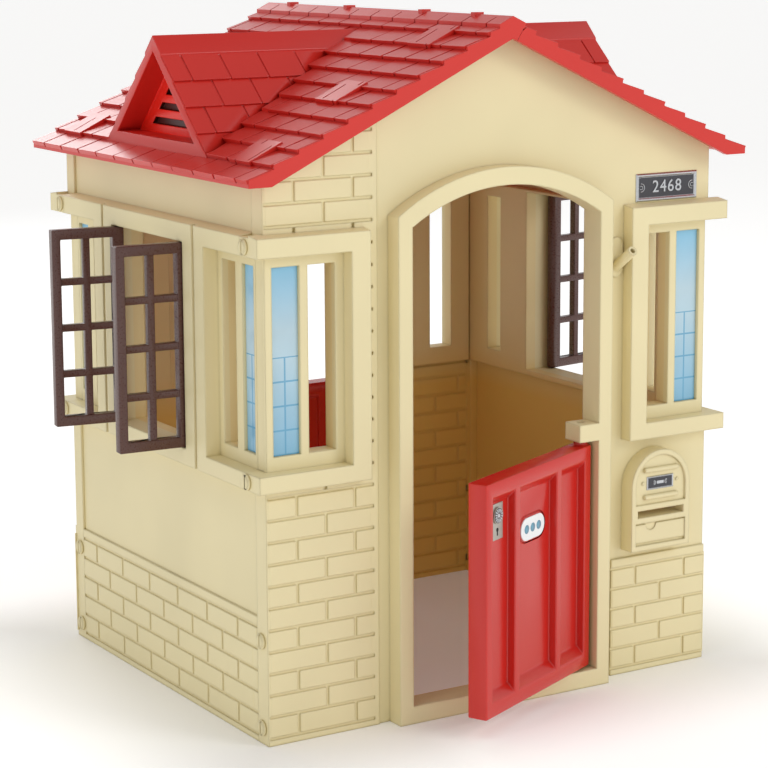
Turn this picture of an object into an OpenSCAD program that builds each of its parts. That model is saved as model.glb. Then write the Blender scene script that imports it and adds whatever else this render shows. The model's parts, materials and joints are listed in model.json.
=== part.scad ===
// Toddler's moulded plastic playhouse: four wall panels pinned together at the corners, a roof
// in two halves with a dormer on each side, two half doors, four window shutters, blind blue
// window panes and applied plates.
// Origin: underside of the front doorway's threshold, on the front wall's brick face, on the
// house's centre line. +X runs along the front wall, +Y into the house, +Z up. Millimetres.

/* [House] */
// Width over the outside faces of the two side walls
house_w = 888; // [860:1:1070]
// Depth over the brick faces of the front and back walls
house_d = 732; // [660:1:900]
// Height of the eave's lower edge above the ground
eave_z = 908; // [900:1:1120]
// Thickness of a wall panel between its frames
wall_t = 14; // [10:1:16]
// Depth and width of the square posts at the ends of the front and back walls
post_t = 34; // [32:1:40]
// Inward depth of the thicker wall around the windows, from the brick face
band_in = 38; // [34:1:46]

/* [Bricks] */
// Height of one brick course
course = 36; // [30:1:44]
// Length of one brick
brick_l = 108; // [90:1:130]
// Height of the plinth strip under the first course
plinth = 12; // [8:1:20]
// Width of a mortar joint
joint_w = 5; // [3:0.5:7]
// Height of the brick faces above the plain wall
relief = 4; // [2:0.5:5]
// Top of the low brick panels
low_brick_z = 209; // [190:1:220]
// Width of a brick column or brick panel on the front wall
column_w = 205; // [190:1:215]

/* [Doorway] */
// Clear width of the doorway
doorway_w = 374; // [330:1:386]
// Height at which the doorway's arch begins
spring_z = 826; // [790:1:840]
// Rise of the arch above its beginning
arch_rise = 57; // [45:1:68]
// Width of the raised trim beside the doorway
trim_w = 26; // [18:1:28]
// Height of the trim above the wall's brick face
trim_d = 30; // [22:1:36]
// Height of the threshold
threshold_h = 30; // [24:1:31]

/* [Windows] */
// Height of the frames above the brick face
frame_d = 22; // [18:1:26]
// Bottom of the window sills
sill_z = 422; // [400:1:430]
// Height of the window sills
sill_h = 28; // [24:1:34]
// Bottom of the window headers
header_z = 795; // [780:1:800]
// Height of the window headers
header_h = 31; // [26:1:36]
// Bottom of the panes and open slots
pane_z = 473; // [468:1:490]
// Top of the panes and open slots
pane_top = 776; // [740:1:778]
// Depth of the window recess behind the brick face
recess_d = 5; // [4.5:0.5:7]
// Depth of the pockets that hold the blue panes
pocket_d = 8; // [5:0.5:9]
// Width of the front wall's panes and open slots
front_pane_w = 50; // [40:1:52]
// Width of the side walls' blue panes
side_pane_w = 38; // [30:1:39]
// Width of the side walls' open slots
side_slot_w = 45; // [36:1:47]
// Width of the side walls' middle openings
opening_w = 268; // [240:1:300]

/* [Doors] */
// Thickness of the half doors
door_t = 36; // [30:1:38]
// Height of the half doors
door_h = 390; // [340:1:391]
// Gap between the closed door's free edge and the doorway
door_gap = 9; // [4:1:20]
// Depth of the recessed door panels
door_panel_d = 15; // [10:1:15]
// Radius of the door's hinge pins
door_pin_r = 7; // [5.5:0.1:8.4]
// Radial play of the hinge pins in their holes
pin_play = 0.4; // [0.3:0.05:0.6]
// Angle at which the front door stands open
front_door_open = 25.5; // [0:0.5:88]
// Angle at which the back door stands open
back_door_open = 0; // [0:0.5:88]

/* [Shutters] */
// Thickness of the shutters
shutter_t = 20; // [16:1:20]
// Width of a shutter's outer frame
shutter_frame = 15; // [12:1:18]
// Width of a shutter's glazing bars
shutter_bar = 12; // [8:1:14]
// Radius of the shutter's hinge pins
shutter_pin_r = 3.5; // [2.9:0.1:4]
// Angle at which the shutters nearest the front wall stand open
near_shutter_open = 86; // [0:1:108]
// Angle at which the shutters nearest the back wall stand open
far_shutter_open = 99; // [0:1:108]

/* [Roof] */
// Slope of the roof
roof_angle = 25.4; // [22:0.1:28]
// Reach of the eaves beyond the side walls
side_overhang = 44; // [34:1:50]
// Reach of the roof beyond the front and back walls
end_overhang = 40; // [38:1:50]
// Number of shingle courses on each slope
tile_rows = 11; // [9:1:13]
// Thickness of a shingle's lower edge
tile_step = 8; // [5:0.5:9]
// Width of one shingle
tile_w = 72; // [60:1:86]
// Upright thickness of the roof skin under the shingles
skin_t = 5; // [4:0.5:7]
// Drop of the gable fascia below the shingles
fascia_drop = 24; // [20:1:30]
// Reach of the ridge cap to each side of the ridge
cap_w = 26; // [20:1:30]

/* [Dormers] */
// Half the width of a dormer at its foot
dormer_half = 191; // [160:1:200]
// Depth of the dormer's gable recess
dormer_recess = 45; // [30:1:50]
// Width of the dormer's rake boards
dormer_t = 19; // [16:1:22]
// Height of one louvre slot
louvre_h = 12; // [9:1:13]
// Spacing of the louvre slots
louvre_pitch = 26; // [22:1:28]

/* [Hidden] */
e = 1;
hw = house_w / 2;
mid_y = house_d / 2;
eave_x = hw + side_overhang;
tan_r = tan(roof_angle);
row_pitch = eave_x / tile_rows;
cap_rise = tile_step + 4;
seam_low = cap_w - cap_rise * sin(roof_angle) - 4;
fascia_t = 10;
door_z = threshold_h + 5;
hinge_x = doorway_w / 2 - door_t / 2 - 2;
hinge_y = -4;
door_len = hinge_x + doorway_w / 2 - door_gap;
ear_z = door_z + door_h + 9;
ear_h = 30;
pivot_in = 6;
pivot_off = shutter_t / 2 + 3;
pivot_x = -hw - frame_d + pivot_in;
shutter_len = opening_w / 2 - pivot_off - 2;
shutter_z = sill_z + sill_h + 2;
shutter_h = header_z - 2 - shutter_z;
roof_gap = 0.2;
pane_gap = 0.3;
pane_t = 2;
front_post = 18;
front_mullion = 15;
front_recess_w = front_post + 2 * front_pane_w + 2 * front_mullion + 1;
front_frame_w = front_recess_w + 35;
side_post = post_t + 6;
side_recess_w = 160;
side_slot_y = side_recess_w - 15 - side_slot_w;
groove_y = side_recess_w + 36;
tongue_x = -hw + 7;
tongue_t = 10;
tongue_l = 20;
screw_y = 20;
screw_z = [27, 172];
screw_r = 6;
screw_head_r = 13;
mailbox_x = hw - 119;
mailbox_z = 225;
mailbox_r = 63;
mailbox_side_h = 113;
mailbox_d = 27;
letter_z = 290;
letter_w = 100;
letter_h = 13;
flag_x = hw - 200;
flag_z = 724;
flag_tilt = 35;
flag_r = 8.5;
flag_bore = 4.5;
flag_len = 58;
flag_depth = 42;
plate_x = hw - 93;
plate_w = 132;
plate_h = 48;
plate_z = header_z + header_h + 6;
dormer_x = -hw - 2;
dormer_ridge = low_line(hw + 2) + dormer_half;
dormer_end = -cap_w - 1;
dormer_step = 5;
dormer_rows = 4;
dormer_cap = 30;

beige = [0.90, 0.85, 0.69];
red = [0.75, 0.17, 0.14];
brown = [0.30, 0.19, 0.17];
blue = [0.62, 0.78, 0.85];
steel = [0.62, 0.63, 0.65];

// Heights of the roof's shingle bed and of its underside at a distance from the centre line
function low_line(x) = eave_z + skin_t + tan_r * (eave_x - abs(x));
function under_line(x) = low_line(x) - skin_t;
function wall_top(x) = under_line(x) - roof_gap;
function row_x(i) = eave_x - i * row_pitch;

// ---- helpers ----

// A flat outline in X and Z given depth along Y
module along_y(y0, y1) {
  translate([0, y1, 0]) rotate([90, 0, 0]) linear_extrude(y1 - y0) children();
}

// A flat outline in Y and Z given depth along X
module along_x(x0, x1) {
  translate([x0, 0, 0]) rotate([90, 0, 90]) linear_extrude(x1 - x0) children();
}

module rect(x0, x1, z0, z1) {
  translate([x0, z0]) square([x1 - x0, z1 - z0]);
}

module box(x0, x1, y0, y1, z0, z1) {
  translate([x0, y0, z0]) cube([x1 - x0, y1 - y0, z1 - z0]);
}

// The other end of the house: the same moulding turned half round
module turned() {
  translate([0, house_d, 0]) rotate([0, 0, 180]) children();
}

// Mortar joints of a brick field w wide and h high, its first brick of even rows a long
module mortar(w, h, a) {
  rows = floor((h - plinth) / course);
  for (k = [0 : rows])
    rect(-e, w + e, plinth + k * course - joint_w / 2, plinth + k * course + joint_w / 2);
  for (k = [0 : rows - 1]) {
    start = (k % 2 == 0) ? a : a + brick_l / 2;
    z0 = plinth + k * course;
    for (x = [start : brick_l : w - 12])
      rect(x - joint_w / 2, x + joint_w / 2, z0, z0 + course);
  }
}

// Flat outline of an arched opening: half width, start and radius of the arch
module arch(half, z0, z1, radius, top) {
  rect(-half, half, z0, z1);
  intersection() {
    translate([0, top - radius]) circle(r = radius, $fn = 160);
    rect(-half, half, z1 - e, top + e);
  }
}

// ---- front and back walls ----

arch_r = (pow(doorway_w / 2, 2) + pow(arch_rise, 2)) / (2 * arch_rise);
arch_top = spring_z + arch_rise;
trim_half = doorway_w / 2 + trim_w;
trim_r = arch_r + trim_w + 4;
trim_top = arch_top + trim_w + 4;
trim_spring = trim_top - trim_r + sqrt(pow(trim_r, 2) - pow(trim_half, 2));

module gable() {
  polygon([[-hw, 0], [hw, 0], [hw, wall_top(hw)], [0, wall_top(0)], [-hw, wall_top(hw)]]);
}

// The panel with its brick column on the left and its low brick panel on the right
module gable_panel() {
  difference() {
    union() {
      along_y(relief, relief + wall_t) gable();
      along_y(0, relief + e) intersection() {
        gable();
        rect(-hw, -hw + column_w + 4, 0, 2000);
      }
      box(hw - column_w, hw, 0, relief + e, 0, low_brick_z);
      along_y(relief + wall_t - e, relief + wall_t + 2) intersection() {
        gable();
        rect(-hw + post_t, -hw + column_w, 0, sill_z + 10);
      }
    }
    along_y(-e, relief) translate([-hw + 4, 0]) mortar(column_w - 10, 1200, 52);
    along_y(-e, relief) translate([hw - column_w, 0]) mortar(column_w, low_brick_z, 52);
    along_y(relief + wall_t, relief + wall_t + 3)
      translate([-hw + 4, 0]) mortar(column_w - 10, sill_z, 52);
  }
  for (s = [-1, 1])
    box(s * (hw - post_t / 2) - post_t / 2, s * (hw - post_t / 2) + post_t / 2,
      relief, post_t, 0, wall_top(hw));
}

// Raised window frame on the left side of the front wall, wrapping round the corner
module front_frame() {
  x0 = -hw - frame_d;
  x1 = -hw + front_frame_w;
  rail_top = header_z + header_h;
  along_x(x0, x1)
    polygon([[-frame_d, header_z], [relief + e, header_z], [relief + e, rail_top + 4],
      [-frame_d, rail_top]]);
  box(x0, -hw + post_t, 0, post_t, header_z, rail_top);
  box(x0, x1, -frame_d, relief + e, sill_z, sill_z + sill_h);
  box(x0, -hw + post_t, 0, post_t, sill_z, sill_z + sill_h);
  box(-hw + front_recess_w, x1, -frame_d, relief + e, sill_z, rail_top);
  box(-hw + band_in + 2, x1, relief + wall_t - e, band_in, sill_z + 18, header_z + 5);
}

module front_window_cuts() {
  z0 = sill_z + sill_h;
  xs = -hw + front_post + front_pane_w + front_mullion;
  box(-hw - frame_d - e, -hw + front_recess_w, -frame_d - e, recess_d, z0, header_z);
  box(-hw - frame_d - e, -hw + recess_d, 0, post_t + e, z0, header_z);
  box(-hw + front_post, -hw + front_post + front_pane_w, 0, recess_d + pocket_d,
    pane_z, pane_top);
  box(xs, xs + front_pane_w, 0, band_in + e, pane_z, pane_top);
}

// Groove for the side wall's tongue and the fasteners' holes, left end
module corner_cuts() {
  box(tongue_x - 0.5, tongue_x + tongue_t + 0.5, screw_y - 7, post_t + e,
    plinth - 2, under_line(hw) - 20);
  for (z = screw_heights())
    translate([-hw - frame_d - e, screw_y, z]) rotate([0, 90, 0])
      cylinder(r = screw_r + 0.3, h = frame_d + post_t + 3, $fn = 32);
}

function screw_heights() = concat(screw_z, [sill_z + sill_h / 2, header_z + header_h / 2]);

module mailbox_outline(inset) {
  r = mailbox_r - inset;
  translate([0, mailbox_side_h]) circle(r = r, $fn = 64);
  rect(-r, r, inset, mailbox_side_h);
}

module mailbox() {
  translate([mailbox_x, 0, mailbox_z]) difference() {
    along_y(-mailbox_d, relief + e) mailbox_outline(0);
    along_y(-mailbox_d - e, -mailbox_d + 4) mailbox_outline(9);
  }
  translate([mailbox_x, 0, 0]) {
    along_y(-mailbox_d, -mailbox_d + 5) rect(-55, 55, letter_z - 16, letter_z + 16);
    along_y(-mailbox_d + 2, -mailbox_d + 5) difference() {
      rect(-54, 54, letter_z - 51, letter_z - 19);
      translate([-20, letter_z - 19]) circle(r = 11, $fn = 48);
    }
    along_y(-mailbox_d + 2, -mailbox_d + 5) for (s = [-1, 1])
      translate([s * 37, 344]) circle(r = 3, $fn = 24);
    for (s = [-1, 1])
      translate([0, -mailbox_d + 1, 343 + s * 24]) rotate([0, 90, 0])
        cylinder(r = 4, h = 72, center = true, $fn = 24);
  }
}

module flag_holder() {
  translate([flag_x, 0, 0]) {
    along_y(1, relief + e) union() {
      rect(-13.5, 13.5, 720, 762);
      for (z = [720, 762])
        translate([0, z]) circle(r = 13.5, $fn = 32);
    }
    intersection() {
      translate([0, relief, flag_z]) rotate([90 - flag_tilt, 0, 0])
        translate([0, 0, -12]) cylinder(r = flag_r, h = flag_len + 12, $fn = 32);
      box(-20, 20, -100, relief + wall_t, 600, 900);
    }
  }
}

module flag_hole() {
  translate([flag_x, relief, flag_z]) rotate([90 - flag_tilt, 0, 0])
    translate([0, 0, flag_len - flag_depth]) cylinder(r = flag_bore, h = flag_depth + e, $fn = 32);
}

module doorway_trim() {
  along_y(-trim_d, relief + e) arch(trim_half, 0, trim_spring, trim_r, trim_top);
}

// Bearing ear over the door's hinge and the threshold under it
module door_bearings() {
  box(hinge_x - door_t / 2 - 2, doorway_w / 2 + e, -trim_d, relief + 8, ear_z, ear_z + ear_h);
  box(-doorway_w / 2 - e, doorway_w / 2 + e, -trim_d, relief + wall_t, 0, threshold_h);
}

module door_bearing_holes() {
  translate([hinge_x, hinge_y, ear_z - e])
    cylinder(r = door_pin_r + pin_play, h = ear_h + 2 * e, $fn = 48);
  translate([hinge_x, hinge_y, threshold_h - 18])
    cylinder(r = door_pin_r + pin_play, h = 18 + e, $fn = 48);
}

module end_wall() {
  color(beige) difference() {
    union() {
      difference() {
        union() {
          gable_panel();
          doorway_trim();
          front_frame();
          mirror([1, 0, 0]) front_frame();
          mailbox();
          flag_holder();
        }
        along_y(-trim_d - e, relief + wall_t + e)
          arch(doorway_w / 2, threshold_h, spring_z, arch_r, arch_top);
        front_window_cuts();
        mirror([1, 0, 0]) front_window_cuts();
        corner_cuts();
        mirror([1, 0, 0]) corner_cuts();
      }
      door_bearings();
    }
    door_bearing_holes();
    flag_hole();
    box(mailbox_x - letter_w / 2, mailbox_x + letter_w / 2, -mailbox_d - e,
      relief + wall_t + e, letter_z - letter_h / 2, letter_z + letter_h / 2);
  }
}

module front_wall() {
  end_wall();
}

module back_wall() {
  turned() end_wall();
}

// ---- side walls ----

// Flat shape of one side wall between the corner posts, in Y and Z
module side_rect(z0, z1) {
  rect(post_t, house_d - post_t, z0, z1);
}

module side_panel() {
  side_top = under_line(hw - relief);
  rail_top = header_z + header_h;
  difference() {
    union() {
      along_x(-hw + relief, -hw + relief + wall_t) side_rect(0, side_top - roof_gap - wall_t * tan_r);
      along_x(-hw, -hw + relief + e) side_rect(0, low_brick_z);
    }
    along_x(-hw - e, -hw + relief)
      translate([post_t, 0]) mortar(house_d - 2 * post_t, low_brick_z, 67);
  }
  translate([0, house_d - post_t, 0]) rotate([90, 0, 0]) linear_extrude(house_d - 2 * post_t)
    polygon([[-hw - frame_d, header_z], [-hw + relief + e, header_z],
      [-hw + relief + e, rail_top + 4], [-hw - frame_d, rail_top]]);
  along_x(-hw - frame_d, -hw + relief + e) side_rect(sill_z, rail_top);
  along_x(-hw + relief + wall_t - e, -hw + band_in) side_rect(sill_z + 18, header_z + 5);
  box(tongue_x, tongue_x + tongue_t, post_t - tongue_l, house_d - post_t + tongue_l,
    plinth, under_line(hw) - 24);
}

// One corner window of a side wall, with its dividing groove and its screw holes
module side_window_cuts() {
  z0 = sill_z + sill_h;
  box(-hw - frame_d - e, -hw + recess_d, post_t - e, side_recess_w, z0, header_z);
  box(-hw, -hw + recess_d + pocket_d, side_post, side_post + side_pane_w, pane_z, pane_top);
  box(-hw, -hw + band_in + e, side_slot_y, side_slot_y + side_slot_w, pane_z, pane_top);
  box(-hw - frame_d - e, -hw - frame_d + 8, groove_y - 4, groove_y + 4,
    sill_z - e, header_z + header_h + 12);
  for (z = screw_heights())
    translate([tongue_x - e, screw_y, z]) rotate([0, 90, 0])
      cylinder(r = screw_r + 0.3, h = tongue_t + 2 * e, $fn = 32);
}

module shutter_holes() {
  for (y = [mid_y - opening_w / 2 + pivot_off, mid_y + opening_w / 2 - pivot_off])
    translate([pivot_x, y, sill_z + sill_h - 12])
      cylinder(r = shutter_pin_r + pin_play, h = shutter_h + 28, $fn = 32);
}

module side_wall() {
  color(beige) difference() {
    side_panel();
    side_window_cuts();
    translate([0, house_d, 0]) mirror([0, 1, 0]) side_window_cuts();
    box(-hw - frame_d - e, -hw + band_in + e, mid_y - opening_w / 2, mid_y + opening_w / 2,
      sill_z + sill_h, header_z);
    shutter_holes();
  }
}

module left_wall() {
  side_wall();
}

module right_wall() {
  turned() side_wall();
}

// ---- roof ----

// Shingle surface from the ridge side down to the eave, in X and Z
function shingles(from_x) = [for (i = [tile_rows - 1 : -1 : 0]) for (j = [1, 0])
  let (x = row_x(i + j)) if (x <= eave_x + 0.01 && (x > from_x || j == 0))
    [-x, low_line(x) + ((j == 1) ? 1 : tile_step)]];

function shingle_height(x) = low_line(x) + tile_step - (row_x(tile_rows - 1) - x)
  / row_pitch * (tile_step - 1);

module left_skin() {
  polygon(concat([[-eave_x, under_line(eave_x)], [0, under_line(0)],
    [seam_low, under_line(seam_low)], [cap_w, low_line(cap_w) + cap_rise],
    [0, low_line(0) + cap_rise], [-cap_w, low_line(cap_w) + cap_rise],
    [-cap_w, shingle_height(cap_w)]], shingles(cap_w)));
}

module right_skin() {
  mirror([1, 0]) polygon(concat([[-eave_x, under_line(eave_x)],
    [-seam_low - 0.6, under_line(seam_low)],
    [-cap_w - 0.6, shingle_height(cap_w)]], shingles(cap_w)));
}

module left_fascia() {
  xb = eave_x - (fascia_drop - skin_t) / tan_r;
  polygon([[-eave_x, under_line(eave_x)], [-xb, under_line(eave_x)],
    [0, low_line(0) - fascia_drop], [seam_low - 9, low_line(seam_low - 9) - fascia_drop],
    [seam_low, under_line(seam_low)], [seam_low, under_line(seam_low) + 1],
    [0, under_line(0) + 1], [-eave_x, under_line(eave_x) + 1]]);
}

module right_fascia() {
  xb = eave_x - (fascia_drop - skin_t) / tan_r;
  polygon([[eave_x, under_line(eave_x)], [xb, under_line(eave_x)],
    [seam_low - 8.4, low_line(seam_low - 8.4) - fascia_drop],
    [seam_low + 0.6, under_line(seam_low)], [seam_low + 0.6, under_line(seam_low) + 1],
    [eave_x, under_line(eave_x) + 1]]);
}

// Joints between the shingles of every course, cut down to the shingle bed (left slope)
module shingle_joints() {
  y0 = -end_overhang;
  y1 = house_d + end_overhang;
  run = row_pitch / cos(roof_angle);
  translate([-eave_x, 0, low_line(eave_x)]) rotate([0, -roof_angle, 0])
    linear_extrude(tile_step + 12)
      for (i = [0 : tile_rows - 1])
        for (y = [y0 + tile_w * ((i % 2 == 0) ? 0.55 : 1.05) : tile_w : y1 - 12])
          translate([i * run, y - 1.5]) square([run - 1.5, 3]);
}

// Shingles that stand up a little, as on a hand-laid roof: course and distance from the front
raised_tiles = [[1, 66], [5, 102], [9, 102], [1, house_d - 40]];

module raised_shingles() {
  run = row_pitch / cos(roof_angle);
  translate([-eave_x, 0, low_line(eave_x)]) rotate([0, -roof_angle, 0])
    for (t = raised_tiles)
      translate([t[0] * run - 4, t[1] - end_overhang, 1]) cube([run * 1.35, 66, tile_step + 1]);
}

// Ground shape under a dormer, where the shingles are left out
module dormer_seat(clear) {
  reach = dormer_half / tan_r + clear;
  translate([0, 0, low_line(eave_x)]) linear_extrude(400)
    polygon([[dormer_x - clear, mid_y - dormer_half - clear], [dormer_x + reach, mid_y],
      [dormer_x - clear, mid_y + dormer_half + clear]]);
}

// Space above the shingle bed of the left slope, for cutting
module above_bed(lift) {
  along_y(-200, house_d + 200) polygon([[-eave_x - 60, low_line(eave_x) - 60 * tan_r + lift],
    [0, low_line(0) + lift], [0, 2400], [-eave_x - 60, 2400]]);
}

module left_half() {
  difference() {
    union() {
      along_y(-end_overhang, house_d + end_overhang) left_skin();
      along_y(-end_overhang, -end_overhang + fascia_t) left_fascia();
      along_y(house_d + end_overhang - fascia_t, house_d + end_overhang) left_fascia();
      raised_shingles();
    }
    shingle_joints();
    intersection() {
      above_bed(0);
      dormer_seat(0.5);
    }
  }
  for (y = [0.08, 0.3, 0.64, 0.92])
    box(-9, 9, y * house_d, y * house_d + 12, low_line(9), low_line(0) + cap_rise + 3);
}

module right_half() {
  difference() {
    union() {
      along_y(-end_overhang, house_d + end_overhang) right_skin();
      along_y(-end_overhang, -end_overhang + fascia_t) right_fascia();
      along_y(house_d + end_overhang - fascia_t, house_d + end_overhang) right_fascia();
      mirror([1, 0, 0]) raised_shingles();
    }
    mirror([1, 0, 0]) shingle_joints();
    mirror([1, 0, 0]) intersection() {
      above_bed(0);
      dormer_seat(0.5);
    }
  }
}

module roof_left() {
  color(red) left_half();
}

module roof_right() {
  color(red) right_half();
}

// ---- dormers ----

// Cross section of a dormer in Y and Z: courses of shingles stepping down from its cap
module dormer_outline() {
  run = (dormer_half - dormer_cap) / dormer_rows;
  right = [for (i = [0 : dormer_rows - 1]) for (j = [0, 1])
    let (d = dormer_cap + (i + j) * run) [d, dormer_ridge - d - dormer_step * (1 - j)]];
  half = concat([[0, dormer_ridge], [dormer_cap, dormer_ridge - dormer_cap]], right,
    [[dormer_half, dormer_ridge - dormer_half - 40]]);
  polygon(concat([for (p = half) [mid_y + p[0], p[1]]],
    [for (i = [len(half) - 1 : -1 : 1]) [mid_y - half[i][0], half[i][1]]]));
}

// Triangle inside the dormer's rake boards, its sides d below the outside slopes
module dormer_inside(d, floor_z) {
  top = dormer_ridge - d;
  polygon([[mid_y, top], [mid_y - (top - floor_z), floor_z], [mid_y + (top - floor_z), floor_z]]);
}

module louvre_slots() {
  top = dormer_ridge - dormer_t * 1.42 - 22;
  for (i = [0 : 3]) {
    z1 = dormer_floor() + 14 + i * louvre_pitch + louvre_h;
    half0 = top - z1 + louvre_h - 8;
    half1 = top - z1 - 8;
    if (half1 > 3)
      polygon([[mid_y - half0, z1 - louvre_h], [mid_y + half0, z1 - louvre_h],
        [mid_y + half1, z1], [mid_y - half1, z1]]);
  }
}

function dormer_floor() = low_line(hw + 2) + 22;

module dormer() {
  difference() {
    along_x(dormer_x, dormer_end) dormer_outline();
    along_x(dormer_x - e, dormer_x + dormer_recess)
      dormer_inside(dormer_t * 1.42, dormer_floor());
    along_x(dormer_x - e, dormer_x + dormer_recess + 8) louvre_slots();
    difference() {
      box(dormer_x - e, dormer_end + e, -200, house_d + 200, 0, 2400);
      above_bed(0.2);
    }
  }
}

module dormer_left() {
  color(red) dormer();
}

module dormer_right() {
  color(red) turned() dormer();
}

// ---- doors ----

// A recessed panel with sloping ends, d deep in the face at y = 0, facing -Y
module door_pocket(x0, x1, d) {
  z0 = 24;
  z1 = door_h - 24;
  along_x(x0, x1) polygon([[-e, z0], [0, z0], [d, z0 + d], [d, z1 - d], [0, z1],
    [-e, z1]]);
}

door_panels = [[0.940, 0.735], [0.685, 0.330], [0.280, 0.045]];
badge_x = -(door_panels[1][0] + door_panels[1][1]) / 2 * door_len;
badge_z = 284;
badge_boss = 1.5;

// A flat bar with round ends, its end circles half a length apart from the middle
module stadium(half, r) {
  rect(-half, half, -r, r);
  for (s = [-1, 1])
    translate([s * half, 0]) circle(r = r, $fn = 48);
}

// The closed door with its hinge axis on the origin and its foot at z = 0
module door_body() {
  r = door_t / 2;
  difference() {
    union() {
      box(-door_len, 0, -r, r, 0, door_h);
      cylinder(r = r, h = door_h, $fn = 64);
      translate([0, 0, -14]) cylinder(r = door_pin_r, h = 30, $fn = 48);
      translate([0, 0, door_h - 10]) cylinder(r = door_pin_r, h = 10 + 9 + ear_h - 4, $fn = 48);
      translate([0, 0, door_h - 1]) cylinder(r = door_pin_r + 5, h = 8.5, $fn = 48);
      translate([0, 0, -3.5]) cylinder(r = door_pin_r + 5, h = 4.5, $fn = 48);
    }
    for (p = door_panels) {
      translate([0, -r, 0]) door_pocket(-p[0] * door_len, -p[1] * door_len, door_panel_d);
      mirror([0, 1, 0]) translate([0, -r, 0])
        door_pocket(-p[0] * door_len, -p[1] * door_len, 6);
    }
  }
  translate([badge_x, -door_t / 2 + door_panel_d, badge_z]) along_y(-badge_boss, e)
    stadium(20, 23);
}

module hung_front() {
  translate([hinge_x, hinge_y, door_z]) rotate([0, 0, front_door_open]) children();
}

module front_door() {
  color(red) hung_front() door_body();
}

module back_door() {
  color(red) turned() translate([hinge_x, hinge_y, door_z]) rotate([0, 0, back_door_open])
    door_body();
}

// ---- shutters ----

// A shutter closed across the window, hinge axis on the origin, running along +Y
module shutter_body() {
  r = shutter_t / 2;
  bay = (shutter_len - 12 - shutter_frame - shutter_bar) / 2;
  pane_h = (shutter_h - 2 * (shutter_frame + 2) - 3 * shutter_bar) / 4;
  difference() {
    union() {
      box(-r, r, 0, shutter_len, 0, shutter_h);
      cylinder(r = r, h = shutter_h, $fn = 48);
      translate([0, 0, -9]) cylinder(r = shutter_pin_r, h = shutter_h + 18, $fn = 32);
    }
    for (i = [0, 1])
      for (k = [0 : 3])
        box(-r - e, r + e, 12 + i * (bay + shutter_bar), 12 + i * (bay + shutter_bar) + bay,
          shutter_frame + 2 + k * (pane_h + shutter_bar),
          shutter_frame + 2 + k * (pane_h + shutter_bar) + pane_h);
    for (s = [-1, 1])
      translate([s * (r - 1), 0, 0]) box(-2, 2, 12, shutter_len - shutter_frame,
        shutter_frame + 2, shutter_h - shutter_frame - 2);
  }
}

module hung_near_shutter() {
  translate([pivot_x, mid_y - opening_w / 2 + pivot_off, shutter_z])
    rotate([0, 0, near_shutter_open]) children();
}

module hung_far_shutter() {
  translate([pivot_x, mid_y + opening_w / 2 - pivot_off, shutter_z])
    rotate([0, 0, -far_shutter_open]) mirror([0, 1, 0]) children();
}

module shutter_left_near() {
  color(brown) hung_near_shutter() shutter_body();
}

module shutter_left_far() {
  color(brown) hung_far_shutter() shutter_body();
}

module shutter_right_near() {
  color(brown) mirror([1, 0, 0]) hung_near_shutter() shutter_body();
}

module shutter_right_far() {
  color(brown) mirror([1, 0, 0]) hung_far_shutter() shutter_body();
}

// ---- panes, plates and fasteners ----

module end_panes() {
  g = pane_gap;
  for (s = [0, 1])
    mirror([s, 0, 0]) box(-hw + front_post + g, -hw + front_post + front_pane_w - g,
      recess_d + pocket_d - pane_t, recess_d + pocket_d, pane_z + g, pane_top - g);
}

module side_panes() {
  g = pane_gap;
  for (s = [0, 1])
    translate([0, s * house_d, 0]) mirror([0, s, 0])
      box(-hw + recess_d + pocket_d - pane_t, -hw + recess_d + pocket_d, side_post + g,
        side_post + side_pane_w - g, pane_z + g, pane_top - g);
}

module front_panes() {
  color(blue) end_panes();
}

module back_panes() {
  color(blue) turned() end_panes();
}

module left_panes() {
  color(blue) side_panes();
}

module right_panes() {
  color(blue) turned() side_panes();
}

// House number plate with a raised border
module number_plate() {
  color(steel) translate([plate_x, relief, plate_z]) difference() {
    box(-plate_w / 2, plate_w / 2, -3, 0, 0, plate_h);
    box(-plate_w / 2 + 7, plate_w / 2 - 7, -4, -1.5, 6, plate_h - 6);
  }
}

module mailbox_badge() {
  color(steel) translate([mailbox_x, -mailbox_d + 4, 343]) difference() {
    box(-29, 29, -2, 0, -12, 12);
    box(-25, 25, -3, -1, -8, 8);
  }
}

module lock_plate() {
  x = -(door_panels[0][0] + door_panels[0][1]) / 2 * door_len;
  color(steel) hung_front() translate([x, -door_t / 2 + door_panel_d, 0]) difference() {
    union() {
      box(-17, 17, -1.5, 0, 288, 348);
      translate([0, 0, 328]) rotate([90, 0, 0]) cylinder(r = 14, h = 4, $fn = 48);
    }
    translate([0, -1, 301]) box(-2, 2, -4, 4, -7, 3);
    translate([0, 5, 304]) rotate([90, 0, 0]) cylinder(r = 3.5, h = 10, $fn = 24);
  }
}

module door_badge() {
  color([0.93, 0.93, 0.92]) hung_front()
    translate([badge_x, -door_t / 2 + door_panel_d - badge_boss, badge_z])
      along_y(-1.5, 0) stadium(20, 19);
}

// One slotted fastener on the left face of the front corner: domed head and plain shank
module corner_screw(x, z, reach) {
  translate([x, screw_y, z]) difference() {
    union() {
      rotate([0, 90, 0]) cylinder(r = screw_r, h = reach, $fn = 32);
      rotate([0, -90, 0]) cylinder(r = screw_head_r, h = 4, $fn = 40);
      rotate([0, -90, 0]) cylinder(r = screw_head_r - 3, h = 5.5, $fn = 40);
    }
    box(-7, -2, -1.5, 1.5, -screw_head_r + 2, screw_head_r - 2);
  }
}

module corner_set() {
  for (z = screw_z)
    corner_screw(-hw, z, post_t - 3);
  for (z = [sill_z + sill_h / 2, header_z + header_h / 2])
    corner_screw(-hw - frame_d, z, frame_d + post_t - 3);
}

module corner_screws() {
  color(beige) {
    for (s = [0, 1])
      mirror([s, 0, 0]) {
        corner_set();
        translate([0, house_d, 0]) mirror([0, 1, 0]) corner_set();
      }
  }
}

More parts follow.
